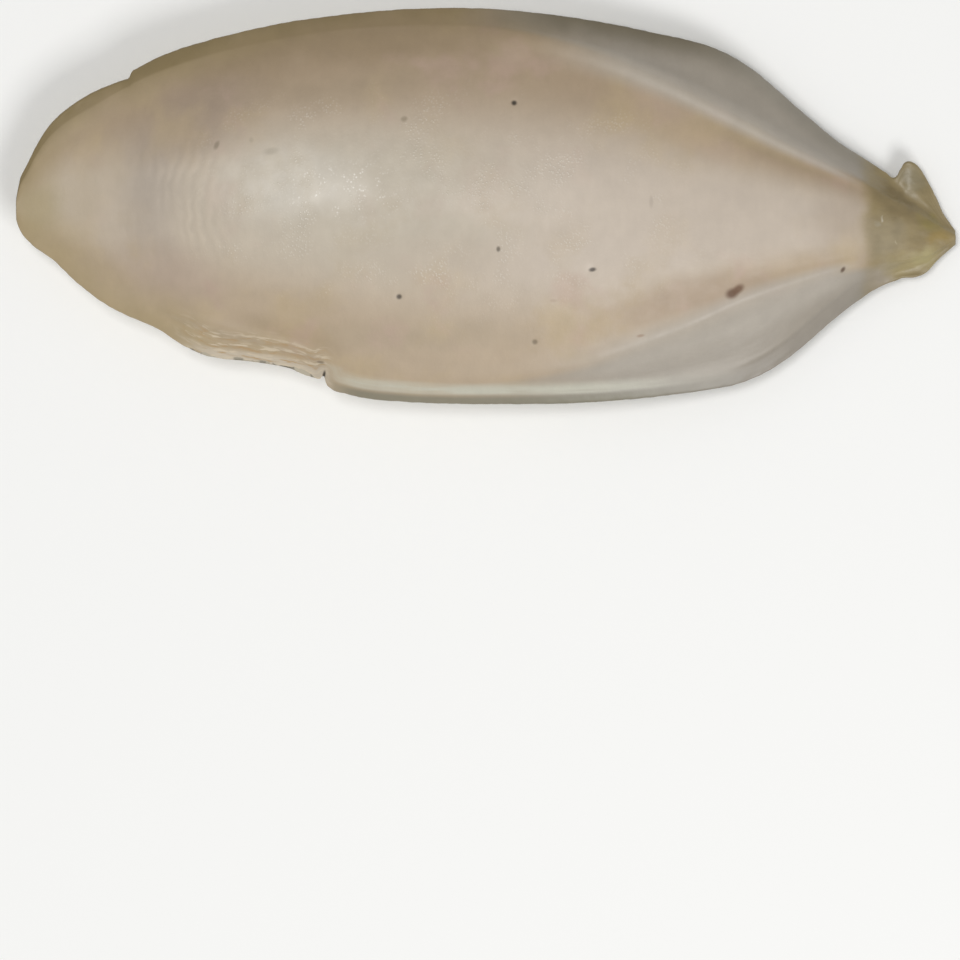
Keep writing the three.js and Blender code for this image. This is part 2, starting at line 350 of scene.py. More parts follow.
BELLY_LINE_SWAY = (5.0, 1.2)
BELLY_SMOOTH_TO_X = -24.0
BELLY_LINE_RUN = {START: BELLY_SMOOTH_TO_X - 3, FULL: BELLY_SMOOTH_TO_X + 3}
UNDER_BODY = {START: 1.05, FULL: 0.95}


def read_skin(add, seed, metres, field):
    """What a tree draws its patterns by: the place in millimetres, and the skin's own fields."""
    place = add(VECTOR, {0: metres, "Scale": 1 / MM}, operation="SCALE")
    plan = add(VECTOR, {0: place, 1: (1, 1, 0)}, operation="MULTIPLY")
    x, y = add("ShaderNodeSeparateXYZ", {0: place}).node.outputs[:2]
    across = field("across")
    outward = add(MATH, {0: across}, operation="ABSOLUTE")
    belly = field("belly")
    back = add(MATH, {0: 1.0, 1: belly}, operation="SUBTRACT")
    return Skin(add, seed, place, plan, x, y, across, outward, field("rim"), back, belly)


def product(skin, *values):
    """All the values multiplied."""
    result = values[0]
    for value in values[1:]:
        result = skin.add(MATH, {0: result, 1: value}, operation="MULTIPLY")
    return result


def stretch(skin, value, start, full, fade, end):
    """1 from full to fade, falling smoothly to 0 at start and at end."""
    rise = skin.add(RANGE, {0: value, START: start, FULL: full}, **SMOOTH)
    fall = skin.add(RANGE, {0: value, START: end, FULL: fade}, **SMOOTH)
    return product(skin, rise, fall)


def clouds(skin, width, drawn_out=(1, 1, 1), detail=2.0, out=0):
    """Soft random clouds of a width, from 0 to 1 about 0.5. Lower shares draw them out along an axis."""
    drawn = skin.add(VECTOR, {0: skin.place, 1: drawn_out}, operation="MULTIPLY")
    scale = skin.add(MATH, {0: 1.0, 1: width}, operation="DIVIDE")
    inputs = {"Vector": drawn, "W": skin.seed, "Scale": scale, "Detail": detail}
    return skin.add(NOISE, inputs, out=out, noise_dimensions="4D")


def uneven(skin, width, reach, **pattern):
    """Clouds about 0 that reach as far up as down."""
    centred = skin.add(MATH, {0: clouds(skin, width, **pattern), 1: 0.5}, operation="SUBTRACT")
    return skin.add(MATH, {0: centred, 1: 2 * reach}, operation="MULTIPLY")


def rim_streaks(skin, length, width, detail=3.0):
    """Streaks that follow the rim, from 0 to 1 about 0.5."""
    along = skin.add(MATH, {0: skin.x, 1: length}, operation="DIVIDE")
    inward = skin.add(MATH, {0: skin.rim, 1: width}, operation="DIVIDE")
    drawn = skin.add("ShaderNodeCombineXYZ", {0: along, 1: inward, 2: skin.across})
    inputs = {"Vector": drawn, "W": skin.seed, "Scale": 1.0, "Detail": detail}
    return skin.add(NOISE, inputs, noise_dimensions="4D")


def waves(skin, value, spacing):
    """Even waves along a value, from -1 to 1."""
    turns = skin.add(MATH, {0: value, 1: spacing}, operation="DIVIDE")
    angle = skin.add(MATH, {0: turns, 1: 2 * np.pi}, operation="MULTIPLY")
    return skin.add(MATH, {0: angle}, operation="SINE")


def growth_arcs(skin, spacing):
    """Growth lines that bow to the front across the front slope, from -1 to 1."""
    along = skin.add(MATH, {0: skin.x, 1: GROWTH_MIDDLE[0]}, operation="SUBTRACT")
    beside = skin.add(MATH, {0: skin.y, 1: GROWTH_MIDDLE[1]}, operation="SUBTRACT")
    wide = skin.add(MATH, {0: beside, 1: GROWTH_FLATTENING}, operation="MULTIPLY")
    both = skin.add("ShaderNodeCombineXYZ", {0: along, 1: wide})
    away = skin.add(VECTOR, {0: both}, out="Value", operation="LENGTH")
    swayed = skin.add(MATH, {0: away, 1: uneven(skin, *GROWTH_SWAY)}, operation="ADD")
    arc = skin.add(MATH, {0: swayed, 1: uneven(skin, *GROWTH_WAVER)}, operation="ADD")
    front = stretch(skin, skin.x, *GROWTH_RUN)
    middle = skin.add(RANGE, {0: skin.outward, **GROWTH_BAND}, **SMOOTH)
    broken = skin.add(RANGE, {0: clouds(skin, GROWTH_BREAK_SIZE, detail=3.0), **GROWTH_BREAKS}, **SMOOTH)
    return product(skin, waves(skin, arc, spacing), front, middle, broken)


def flaked_layers(skin, width):
    """The thin layers broken off the south rim: how far each falls towards its edge, and where."""
    ragged = uneven(skin, *FLAKE_RAGGED, drawn_out=FLAKE_DRAWN_OUT, detail=4.0)
    inward = skin.add(MATH, {0: skin.rim, 1: ragged}, operation="ADD")
    layer = skin.add(MATH, {0: inward, 1: width}, operation="DIVIDE")
    fall = skin.add(MATH, {0: layer}, operation="FRACT")
    side = skin.add(RANGE, {0: skin.across, **FLAKE_SIDE}, **SMOOTH)
    near = skin.add(RANGE, {0: skin.rim, **FLAKE_DEPTH}, **SMOOTH)
    run = stretch(skin, skin.x, *FLAKE_RUN)
    return fall, product(skin, side, near, run)


def wing_places(skin):
    """Where the shell goes on past the chalk as thin horny wings."""
    winged = skin.add(RANGE, {0: skin.outward, **WING_SIDE}, **SMOOTH)
    run = skin.add(RANGE, {0: skin.x, **WING_RUN}, **SMOOTH)
    return product(skin, winged, run)


def south_strip(skin, width):
    """The strip along the edge of the south wing, below a crease."""
    strip = skin.add(MATH, {0: width, 1: skin.rim}, operation="SUBTRACT")
    inside = skin.add(RANGE, {0: strip, **STRIP_CREASE}, **SMOOTH)
    side = skin.add(RANGE, {0: skin.across, **STRIP_SIDE}, **SMOOTH)
    return product(skin, inside, side, stretch(skin, skin.x, *STRIP_RUN))


def belly_layers(skin, spacing):
    """Edges of the belly's thin layers, which bow to the front behind the smooth first chamber: 0 to 1, and
    where they are."""
    bow = skin.add(MATH, {0: skin.outward, 1: 2.0}, operation="POWER")
    bowed = skin.add(MATH, {0: bow, 1: BELLY_LINE_BOW}, operation="MULTIPLY")
    swept = skin.add(MATH, {0: skin.x, 1: bowed}, operation="SUBTRACT")
    wandering = skin.add(MATH, {0: swept, 1: uneven(skin, *BELLY_LINE_SWAY)}, operation="ADD")
    layers = skin.add(RANGE, {0: waves(skin, wandering, spacing), START: -1.0, FULL: 1.0})
    behind = skin.add(RANGE, {0: swept, **BELLY_LINE_RUN}, **SMOOTH)
    under_body = skin.add(RANGE, {0: skin.outward, **UNDER_BODY}, **SMOOTH)
    return layers, product(skin, behind, under_body)


# The relief: each form is a height in millimetres

FLAKE_STEEPNESS = 4.0
CREASED_RUN = {START: 59.5, FULL: 63.5}
TAIL_DRAWN_OUT = (0.35, 1, 1)
CHIPPED_DEPTH = {START: 1.2, FULL: 0.1}
PIT_SPREAD = 1.4


def growth_relief(skin, size):
    """Growth lines across the front slope."""
    return product(skin, growth_arcs(skin, size["Growth Line Spacing"]), size["Growth Line Height"])


def flake_relief(skin, size):
    """Ragged steps where thin layers have flaked off the south rim. Each step drops towards the rim."""
    fall, flaked = flaked_layers(skin, size["Flake Width"])
    rest = skin.add(MATH, {0: 1.0, 1: fall}, operation="SUBTRACT")
    steep = skin.add(MATH, {0: rest, 1: FLAKE_STEEPNESS}, operation="MULTIPLY")
    profile = skin.add(MATH, {0: fall, 1: steep}, operation="MINIMUM")
    height = skin.add(MATH, {0: size["Flake Height"], 1: -1.0}, operation="MULTIPLY")
    return product(skin, profile, flaked, skin.back, height)


def wing_relief(skin, size):
    """Faint streaks along the wings, and the crease of the south wing's strip."""
    streaks = rim_streaks(skin, size["Wing Streak Length"], size["Wing Streak Width"])
    centred = skin.add(MATH, {0: streaks, 1: 0.5}, operation="SUBTRACT")
    streaked = product(skin, centred, wing_places(skin), size["Wing Streak Height"])
    dropped = product(skin, south_strip(skin, size["Wing Strip Width"]), size["Wing Strip Drop"])
    return product(skin, skin.add(MATH, {0: streaked, 1: dropped}, operation="SUBTRACT"), skin.back)


def tail_relief(skin, size):
    """The horny tail is creased lengthwise."""
    tail = skin.add(RANGE, {0: skin.x, **CREASED_RUN}, **SMOOTH)
    creases = uneven(skin, size["Tail Crease Size"], 0.5, drawn_out=TAIL_DRAWN_OUT, detail=3.0)
    return product(skin, creases, tail, size["Tail Crease Height"])


def hump_relief(skin, size):
    """Low humps keep the surface from being machine smooth."""
    return product(skin, uneven(skin, size["Hump Size"], 0.5), size["Hump Height"])


def chip_relief(skin, size):
    """The rim's edge is chipped all round."""
    edge = skin.add(RANGE, {0: skin.rim, **CHIPPED_DEPTH}, **SMOOTH)
    return product(skin, uneven(skin, size["Rim Chip Size"], 0.5, detail=3.0), edge, size["Rim Chip Depth"])


def pit_relief(skin, size):
    """Each pit in the back is a small dent."""
    dents = 0.0
    for pit in PITS:
        away = skin.add(VECTOR, {0: skin.plan, 1: (pit.x, pit.y, 0)}, operation="SUBTRACT")
        distance = skin.add(VECTOR, {0: away}, out="Value", operation="LENGTH")
        wide = PIT_SPREAD * pit.half_length
        dent = skin.add(RANGE, {0: distance, START: wide, FULL: 0.0, HIGH: -pit.strength}, **SMOOTH)
        dents = skin.add(MATH, {0: dents, 1: dent}, operation="ADD")
    return product(skin, dents, skin.back, size["Pit Depth"])


def belly_relief(skin, size):
    """The belly's layers are cut in between their edges."""
    layers, layered = belly_layers(skin, size["Belly Line Spacing"])
    sunk = skin.add(MATH, {0: layers, 1: 1.0}, operation="SUBTRACT")
    return product(skin, sunk, layered, skin.belly, size["Belly Line Depth"])


RELIEF_FORMS = (
    growth_relief,
    flake_relief,
    wing_relief,
    tail_relief,
    hump_relief,
    chip_relief,
    pit_relief,
    belly_relief,
)
BELLY_FROM = 0.6


def relief_tree(back_material, belly_material):
    """The tree that moves the skin along its normals by all the forms, and lays on the two materials."""
    tree = bpy.data.node_groups.new("cuttlebone_relief", "GeometryNodeTree")
    tree.interface.new_socket("Geometry", in_out="INPUT", socket_type="NodeSocketGeometry")
    for name in RELIEF:
        tree.interface.new_socket(name, in_out="INPUT", socket_type="NodeSocketFloat")
    tree.interface.new_socket("Geometry", in_out="OUTPUT", socket_type="NodeSocketGeometry")
    add = partial(add_node, tree)
    size = tree.nodes.new("NodeGroupInput").outputs

    def field(attribute):
        return add("GeometryNodeInputNamedAttribute", {"Name": attribute}, data_type="FLOAT")

    skin = read_skin(add, size["Seed"], add("GeometryNodeInputPosition"), field)
    height = 0.0
    for form in RELIEF_FORMS:
        height = add(MATH, {0: height, 1: form(skin, size)}, operation="ADD")
    metres = add(MATH, {0: height, 1: MM}, operation="MULTIPLY")
    offset = add(VECTOR, {0: add("GeometryNodeInputNormal"), "Scale": metres}, operation="SCALE")
    shaped = add("GeometryNodeSetPosition", {"Geometry": size["Geometry"], "Offset": offset})
    real = add("GeometryNodeRealizeInstances", {"Geometry": shaped})
    backed = add("GeometryNodeSetMaterial", {"Geometry": real, "Material": back_material})
    under = add("FunctionNodeCompare", {0: skin.belly, 1: BELLY_FROM}, operation="GREATER_EQUAL")
    finished = add(
        "GeometryNodeSetMaterial",
        {"Geometry": backed, "Selection": under, "Material": belly_material},
    )
    tree.links.new(finished, tree.nodes.new("NodeGroupOutput").inputs["Geometry"])
    return tree


def cuttlebone_piece(node, back_material, belly_material):
    """The finished bone as one plain mesh at the origin."""
    piece = bpy.data.objects.new("cuttlebone_shell", bone_skin(node))
    bpy.context.scene.collection.objects.link(piece)
    modifier = piece.modifiers.new("relief", "NODES")
    modifier.node_group = relief_tree(back_material, belly_material)
    for socket in modifier.node_group.interface.items_tree:
        if socket.in_out == "INPUT" and socket.name in RELIEF:
            modifier[socket.identifier] = RELIEF[socket.name]
    depsgraph = bpy.context.evaluated_depsgraph_get()
    finished = bpy.data.meshes.new_from_object(piece.evaluated_get(depsgraph))
    piece.modifiers.remove(modifier)
    piece.data = finished
    return piece


# The materials

# Where the tints of the back lie.
NORTH_FLANK = {START: 0.15, FULL: 0.8}
SOUTH_FLANK = {START: -0.3, FULL: -0.8}
BOTH_FLANKS = {START: 0.2, FULL: 0.7, LOW: 0.35, HIGH: 1.0}
RIB_WAVER = (12.0, 0.12)
RIB_BAND = (-0.74, -0.34, 0.08, 0.7)
RIB_RUN = (-14.0, 14.0, 54.0, 61.0)
BODY_DRIFT = (14.0, 6.0)
YELLOW_SIZE = 10.0
YELLOW_CLOUDS = {START: 0.48, FULL: 0.7}
PINK_SIZE = 7.0
PINK_CLOUDS = {START: 0.48, FULL: 0.28}
RIM_FRAY = (8.0, 3.4)
STAINED_DEPTH = {START: 8.0, FULL: -0.6}
FRONT_RUN = {START: -15.0, FULL: -50.0}
NORTH_STAIN_SIDE = {START: 0.8, FULL: 1.2}
NORTH_BAND_DEPTH = (0.8, 3.6, 5.0, 11.0)
NORTH_BAND_SIDE = {START: 0.6, FULL: 0.9}
NORTH_BAND_RUN = (-56.0, -36.0, -8.0, 12.0)
WING_EDGE_DEPTH = {START: 3.0, FULL: 0.4}
WING_FRAY = (4.0, 1.0)
WING_STAIN_DEPTH = {START: 4.6, FULL: -0.4}
WING_STAIN_SIDE = {START: 1.0, FULL: 1.3}
WING_STAIN_RUN = (-4.0, 14.0, 30.0, 46.0)
GROOVE_BAND = (0.66, 0.78, 0.82, 0.94)
GROOVE_RUN = (24.0, 42.0, 52.0, 60.0)
NORTH_RIDGE_BAND = (0.8, 0.95, 1.05, 1.3)
SOUTH_RIDGE_BAND = (-1.6, -1.26, -1.0, -0.82)
RIDGE_RUN = (4.0, 26.0, 54.0, 61.0)
LIP_SIDE = {START: -1.0, FULL: -1.2}
LIP_RUN = (-28.0, -20.0, 14.0, 40.0)
LIP_DEPTH = (0.9, 1.6, 2.0, 3.6)
LIP_EDGE_DEPTH = {START: 1.5, FULL: 0.5}
LIP_STREAK = (9.0, 0.7)
LIP_BREAKS = {START: 0.3, FULL: 0.6, LOW: 0.55, HIGH: 1.0}
FLAKE_LIP_DEPTH = {START: 2.0, FULL: 0.8}
FLAKE_STREAK = (2.2, 0.34)
FLAKE_RECESS = {START: 0.5, FULL: 0.9}
FLAKE_CREST = {START: 0.7, FULL: 0.2}
ORANGE_STREAKS = {START: 0.55, FULL: 0.4}
PALE_STREAKS = {START: 0.46, FULL: 0.58}
TAIL_DRIFT = (3.0, 3.6)
OLIVE_RUN = {START: 58.6, FULL: 62.6}
GRANULE_RUN = (-50.0, -36.0, 16.0, 44.0)
GRANULE_BAND = {START: 0.8, FULL: 0.35}
GRANULE_PATCH_SIZE = 5.0
GRANULE_PATCHES = {START: 0.46, FULL: 0.68}
GLINT_RUN = (-34.0, -26.0, -21.0, -12.0)
GLINT_BREADTH = (-4.0, 1.0, 3.0, 8.0)
GLINT_SIZE = 1.6
GLINT_CLOUDS = {START: 0.48, FULL: 0.62}
SPECK_CORE = 0.25

# The fine finish of the back. Its granules are 0.3 mm wide in life, and drawn half as coarse again to show.
MOTTLE = (3.0, 0.1)
STRIAE = (0.8, 0.03)
STRIAE_DRAWN_OUT = (1, 0.25, 1)
GROWTH_SHADE = 0.04
HORN_GRAIN = (1.4, 0.22)
GRANULE_WIDTH = 0.45
GRANULE_TOPS = {START: 0.5, FULL: 0.1}
GRANULE_HEIGHT = 0.04
GRAIN_WIDTH = 0.45
GRAIN_HEIGHT = 0.02
FIBRE_STREAK = (4.0, 0.3)
FIBRE_HEIGHT = 0.06
SATIN_SIZE = 2.5
SATIN_ROUGHNESS = {START: 0.3, FULL: 0.7, LOW: 0.42, HIGH: 0.54}
GRANULE_ROUGHNESS = 0.34
HORN_ROUGHNESS = 0.4
SHELL_IOR = 1.55

# The finish of the belly. Its pores are finer than a tenth of a millimetre, and drawn four times as coarse.
CHAMBER_RUN = {START: BELLY_SMOOTH_TO_X + 6, FULL: BELLY_SMOOTH_TO_X - 10}
LAYER_TROUGHS = {START: 0.6, FULL: 0.1}
LAYER_SHADE_SIZE = 4.0
BELLY_MARGIN = {START: 3.4, FULL: 1.2}
BELLY_WING_SIDE = {START: 1.0, FULL: 1.2}
BELLY_WING_RUN = {START: 0.0, FULL: 20.0}
BELLY_TAIL_RUN = {START: 58.0, FULL: 63.0}
BELLY_MOTTLE = (3.0, 0.06)
PORE_WIDTH = 0.4
PORE_HEIGHT = 0.05
CHALK_SIZE = 2.0
CHALK_ROUGHNESS = {START: 0.3, FULL: 0.7, LOW: 0.75, HIGH: 0.9}


def start_material(name):
    """A new material, and the skin as its tree reads it."""
    material = bpy.data.materials.new(name)
    material.use_nodes = True
    add = partial(add_node, material.node_tree)

    def field(attribute):
        return add("ShaderNodeAttribute", attribute_name=attribute, out="Fac")

    skin = read_skin(add, RELIEF["Seed"], add("ShaderNodeTexCoord", out="Object"), field)
    return material, skin


def finish_material(material, colour, roughness, height):
    """Joins the colour, the roughness and a fine height in millimetres to the material's shader."""
    tree = material.node_tree
    shader = tree.nodes["Principled BSDF"]
    bump = add_node(tree, "ShaderNodeBump", {"Height": height, "Strength": 1.0, "Distance": MM})
    tree.links.new(colour, shader.inputs["Base Color"])
    tree.links.new(roughness, shader.inputs["Roughness"])
    tree.links.new(bump, shader.inputs["Normal"])
    shader.inputs["IOR"].default_value = SHELL_IOR
    return material


def drifted(skin, width, reach):
    """The plan with its places moved about, so that what is painted by it has a natural edge."""
    cloudy = clouds(skin, width, detail=3.0, out="Color")
    shift = skin.add(VECTOR, {0: cloudy, 1: (0.5, 0.5, 0.5)}, operation="SUBTRACT")
    drift = skin.add(VECTOR, {0: shift, 1: (reach, reach, 0)}, operation="MULTIPLY")
    return skin.add(VECTOR, {0: skin.plan, 1: drift}, operation="ADD")


def paint(skin, below, tint, *masks):
    """A tint laid over a colour, as strongly as its masks and its own strength together."""
    factor = product(skin, *masks, tint.strength)
    return skin.add(MIX, {FACTOR: factor, BELOW: below, ABOVE: linear(tint.colour)}, **COLOUR_MIX)


def paint_patch(skin, below, canvas, patch, core, *masks):
    """An oval patch of tint on a canvas, whole inside its core and fading to its edge."""
    inside = skin.add(
        "ShaderNodeMapping",
        {
            "Vector": canvas,
            "Location": (patch.x, patch.y, 0),
            "Rotation": (0, 0, np.radians(patch.turn)),
            "Scale": (patch.half_length, patch.half_width, 1),
        },
        vector_type="TEXTURE",
    )
    reach = skin.add(VECTOR, {0: inside}, out="Value", operation="LENGTH")
    share = skin.add(RANGE, {0: reach, START: 1.0, FULL: core}, **SMOOTH)
    return paint(skin, below, patch, share, *masks)


def body_colour(skin):
    """Cream chalk with tan flanks, soft patches along it (two of them a painted highlight glow on the front
    of the back), and a paler rib along the middle.
    """
    north_flank = skin.add(RANGE, {0: skin.across, **NORTH_FLANK}, **SMOOTH)
    colour = paint(skin, linear(CREAM), NORTH_TAN, north_flank)
    south_flank = skin.add(RANGE, {0: skin.across, **SOUTH_FLANK}, **SMOOTH)
    colour = paint(skin, colour, SOUTH_TAN, south_flank)
    wavering = skin.add(MATH, {0: skin.across, 1: uneven(skin, *RIB_WAVER)}, operation="ADD")
    rib = stretch(skin, wavering, *RIB_BAND)
    colour = paint(skin, colour, RIB_CREAM, rib, stretch(skin, skin.x, *RIB_RUN))
    canvas = drifted(skin, *BODY_DRIFT)
    for patch in BODY_PATCHES:
        colour = paint_patch(skin, colour, canvas, patch, patch.core)
    yellow = skin.add(RANGE, {0: clouds(skin, YELLOW_SIZE, detail=5.0), **YELLOW_CLOUDS}, **SMOOTH)
    flanks = skin.add(RANGE, {0: skin.outward, **BOTH_FLANKS}, **SMOOTH)
    colour = paint(skin, colour, YELLOW_DRIFT, yellow, flanks)
    pink = skin.add(RANGE, {0: clouds(skin, PINK_SIZE, detail=5.0), **PINK_CLOUDS}, **SMOOTH)
    return paint(skin, colour, PINK_DRIFT, pink, flanks)


def stained_rim(skin, colour):
    """The rim is stained yellow round the front and olive along the north."""
    inward = skin.add(MATH, {0: skin.rim, 1: uneven(skin, *RIM_FRAY, detail=5.0)}, operation="ADD")
    stained = skin.add(RANGE, {0: inward, **STAINED_DEPTH}, **SMOOTH)
    front = skin.add(RANGE, {0: skin.x, **FRONT_RUN}, **SMOOTH)
    colour = paint(skin, colour, FRONT_STAIN, stained, front)
    north = skin.add(RANGE, {0: skin.across, **NORTH_STAIN_SIDE}, **SMOOTH)
    colour = paint(skin, colour, NORTH_STAIN, stained, north)
    band = stretch(skin, inward, *NORTH_BAND_DEPTH)
    side = skin.add(RANGE, {0: skin.across, **NORTH_BAND_SIDE}, **SMOOTH)
    return paint(skin, colour, NORTH_BAND, band, side, stretch(skin, skin.x, *NORTH_BAND_RUN))


def horny_wings(skin, colour):
    """The wings are grey where the chalk stops and the skin goes on alone, with a pale ridge beside each."""
    wings = wing_places(skin)
    colour = paint(skin, colour, WING_GREY, wings)
    thin = skin.add(RANGE, {0: skin.rim, **WING_EDGE_DEPTH}, **SMOOTH)
    colour = paint(skin, colour, WING_EDGE, thin, wings)
    north = skin.add(RANGE, {0: skin.across, **WING_STAIN_SIDE}, **SMOOTH)
    frayed = skin.add(MATH, {0: skin.rim, 1: uneven(skin, *WING_FRAY, detail=4.0)}, operation="ADD")
    stain = skin.add(RANGE, {0: frayed, **WING_STAIN_DEPTH}, **SMOOTH)
    colour = paint(skin, colour, WING_STAIN, stain, north, stretch(skin, skin.x, *WING_STAIN_RUN))
    colour = paint(skin, colour, STRIP_GREY, south_strip(skin, RELIEF["Wing Strip Width"]))
    groove = stretch(skin, skin.across, *GROOVE_BAND)
    colour = paint(skin, colour, GROOVE_OLIVE, groove, stretch(skin, skin.x, *GROOVE_RUN))
    north_ridge = stretch(skin, skin.across, *NORTH_RIDGE_BAND)
    ridge_run = stretch(skin, skin.x, *RIDGE_RUN)
    colour = paint(skin, colour, NORTH_RIDGE_PALE, north_ridge, ridge_run)
    south_ridge = stretch(skin, skin.across, *SOUTH_RIDGE_BAND)
    return paint(skin, colour, SOUTH_RIDGE_PALE, south_ridge, ridge_run)


def south_lip(skin, colour):
    """Along the south rim runs a pale lip with an olive edge, both broken into streaks."""
    side = skin.add(RANGE, {0: skin.across, **LIP_SIDE}, **SMOOTH)
    run = stretch(skin, skin.x, *LIP_RUN)
    streaks = skin.add(RANGE, {0: rim_streaks(skin, *LIP_STREAK), **LIP_BREAKS}, **SMOOTH)
    lip = stretch(skin, skin.rim, *LIP_DEPTH)
    colour = paint(skin, colour, LIP_PALE, lip, side, run, streaks)
    edge = skin.add(RANGE, {0: skin.rim, **LIP_EDGE_DEPTH}, **SMOOTH)
    return paint(skin, colour, LIP_EDGE, edge, side, run)


def flaked_rim(skin, colour):
    """Broken layer edges show as cream and orange streaks on the flaked rim, above a pale lip."""
    fall, flaked = flaked_layers(skin, RELIEF["Flake Width"])
    streaks = rim_streaks(skin, *FLAKE_STREAK, detail=5.0)
    lip = skin.add(RANGE, {0: skin.rim, **FLAKE_LIP_DEPTH}, **SMOOTH)
    colour = paint(skin, colour, FLAKE_LIP, flaked, lip)
    recess = skin.add(RANGE, {0: fall, **FLAKE_RECESS}, **SMOOTH)
    orange = skin.add(RANGE, {0: streaks, **ORANGE_STREAKS}, **SMOOTH)
    colour = paint(skin, colour, FLAKE_ORANGE, flaked, recess, orange)
    crest = skin.add(RANGE, {0: fall, **FLAKE_CREST}, **SMOOTH)
    pale = skin.add(RANGE, {0: streaks, **PALE_STREAKS}, **SMOOTH)
    return paint(skin, colour, FLAKE_PALE, flaked, crest, pale)


def olive_tail(skin, colour):
    """The tail is olive horn, which begins at an uneven line across; among its patches are painted shade on
    its north slope and a painted glint on a pale fleck.
    """
    canvas = drifted(skin, *TAIL_DRIFT)
    along = skin.add("ShaderNodeSeparateXYZ", {0: canvas})
    tail = skin.add(RANGE, {0: along, **OLIVE_RUN}, **SMOOTH)
    colour = paint(skin, colour, TAIL_OLIVE, tail)
    for patch in TAIL_PATCHES:
        colour = paint_patch(skin, colour, canvas, patch, patch.core, tail)
    return colour, tail


def shell_back():
    """Aragonite back with a thin horny skin: cream chalk with a satin gloss from the skin over it, greyer
    where only the skin is left in the wings, and olive brown in the tail."""
    material, skin = start_material("aragonite_back_with_chitin_rim")
    add = skin.add
    colour = body_colour(skin)
    colour = stained_rim(skin, colour)
    colour = horny_wings(skin, colour)
    colour = south_lip(skin, colour)
    colour = flaked_rim(skin, colour)
    colour, tail = olive_tail(skin, colour)

    # Faint mottling, growth lines and cross striae.
    mottle = uneven(skin, *MOTTLE, detail=8.0)
    striae = uneven(skin, *STRIAE, drawn_out=STRIAE_DRAWN_OUT)
    growth = product(skin, growth_arcs(skin, RELIEF["Growth Line Spacing"]), GROWTH_SHADE)
    horn = product(skin, uneven(skin, *HORN_GRAIN, drawn_out=TAIL_DRAWN_OUT, detail=5.0), tail)
    shade = add(MATH, {0: mottle, 1: striae}, operation="ADD")
    shade = add(MATH, {0: shade, 1: horn}, operation="ADD")
    shade = add(MATH, {0: shade, 1: growth}, operation="ADD")
    shade = add(MATH, {0: shade, 1: 1.0}, operation="ADD")
    colour = add(VECTOR, {0: colour, "Scale": shade}, operation="SCALE")

    # Granules in the middle of the back, with a painted highlight on their tops and painted glints on some
    # of them, and specks.
    cells = add("ShaderNodeTexVoronoi", {"Vector": skin.place, "Scale": 1 / GRANULE_WIDTH})
    run = stretch(skin, skin.x, *GRANULE_RUN)
    side = add(RANGE, {0: skin.outward, **GRANULE_BAND}, **SMOOTH)
    patchy = add(RANGE, {0: clouds(skin, GRANULE_PATCH_SIZE, detail=5.0), **GRANULE_PATCHES}, **SMOOTH)
    grainy = product(skin, run, side, patchy)
    tops = add(RANGE, {0: cells, **GRANULE_TOPS}, **SMOOTH)
    # Painted highlight on the granule tops.
    colour = paint(skin, colour, GRANULE_TOP_HIGHLIGHT, tops, grainy)
    along = stretch(skin, skin.x, *GLINT_RUN)
    shining = product(skin, along, stretch(skin, skin.y, *GLINT_BREADTH))
    strewn = add(RANGE, {0: clouds(skin, GLINT_SIZE, detail=4.0), **GLINT_CLOUDS}, **SMOOTH)
    # Painted glints on some granule tops on the front of the back.
    colour = paint(skin, colour, GLINT_WHITE, tops, shining, strewn)
    for speck in PITS + STAINS:
        colour = paint_patch(skin, colour, skin.plan, speck, SPECK_CORE)

    # Fine height, and a gloss that is higher on granules and horn.
    granules = product(skin, tops, grainy, GRANULE_HEIGHT)
    grain = product(skin, clouds(skin, GRAIN_WIDTH), GRAIN_HEIGHT)
    flaked = flaked_layers(skin, RELIEF["Flake Width"])[1]
    fibres = product(skin, rim_streaks(skin, *FIBRE_STREAK), flaked, FIBRE_HEIGHT)
    height = add(MATH, {0: granules, 1: grain}, operation="ADD")
    height = add(MATH, {0: height, 1: fibres}, operation="ADD")
    horny = add(MATH, {0: tail, 1: wing_places(skin)}, operation="MAXIMUM")
    satin = add(RANGE, {0: clouds(skin, SATIN_SIZE, detail=3.0), **SATIN_ROUGHNESS})
    glinting = add(MIX, {0: product(skin, tops, grainy), 2: satin, 3: GRANULE_ROUGHNESS})
    roughness = add(MIX, {0: horny, 2: glinting, 3: HORN_ROUGHNESS})
    return finish_material(material, colour, roughness, height)


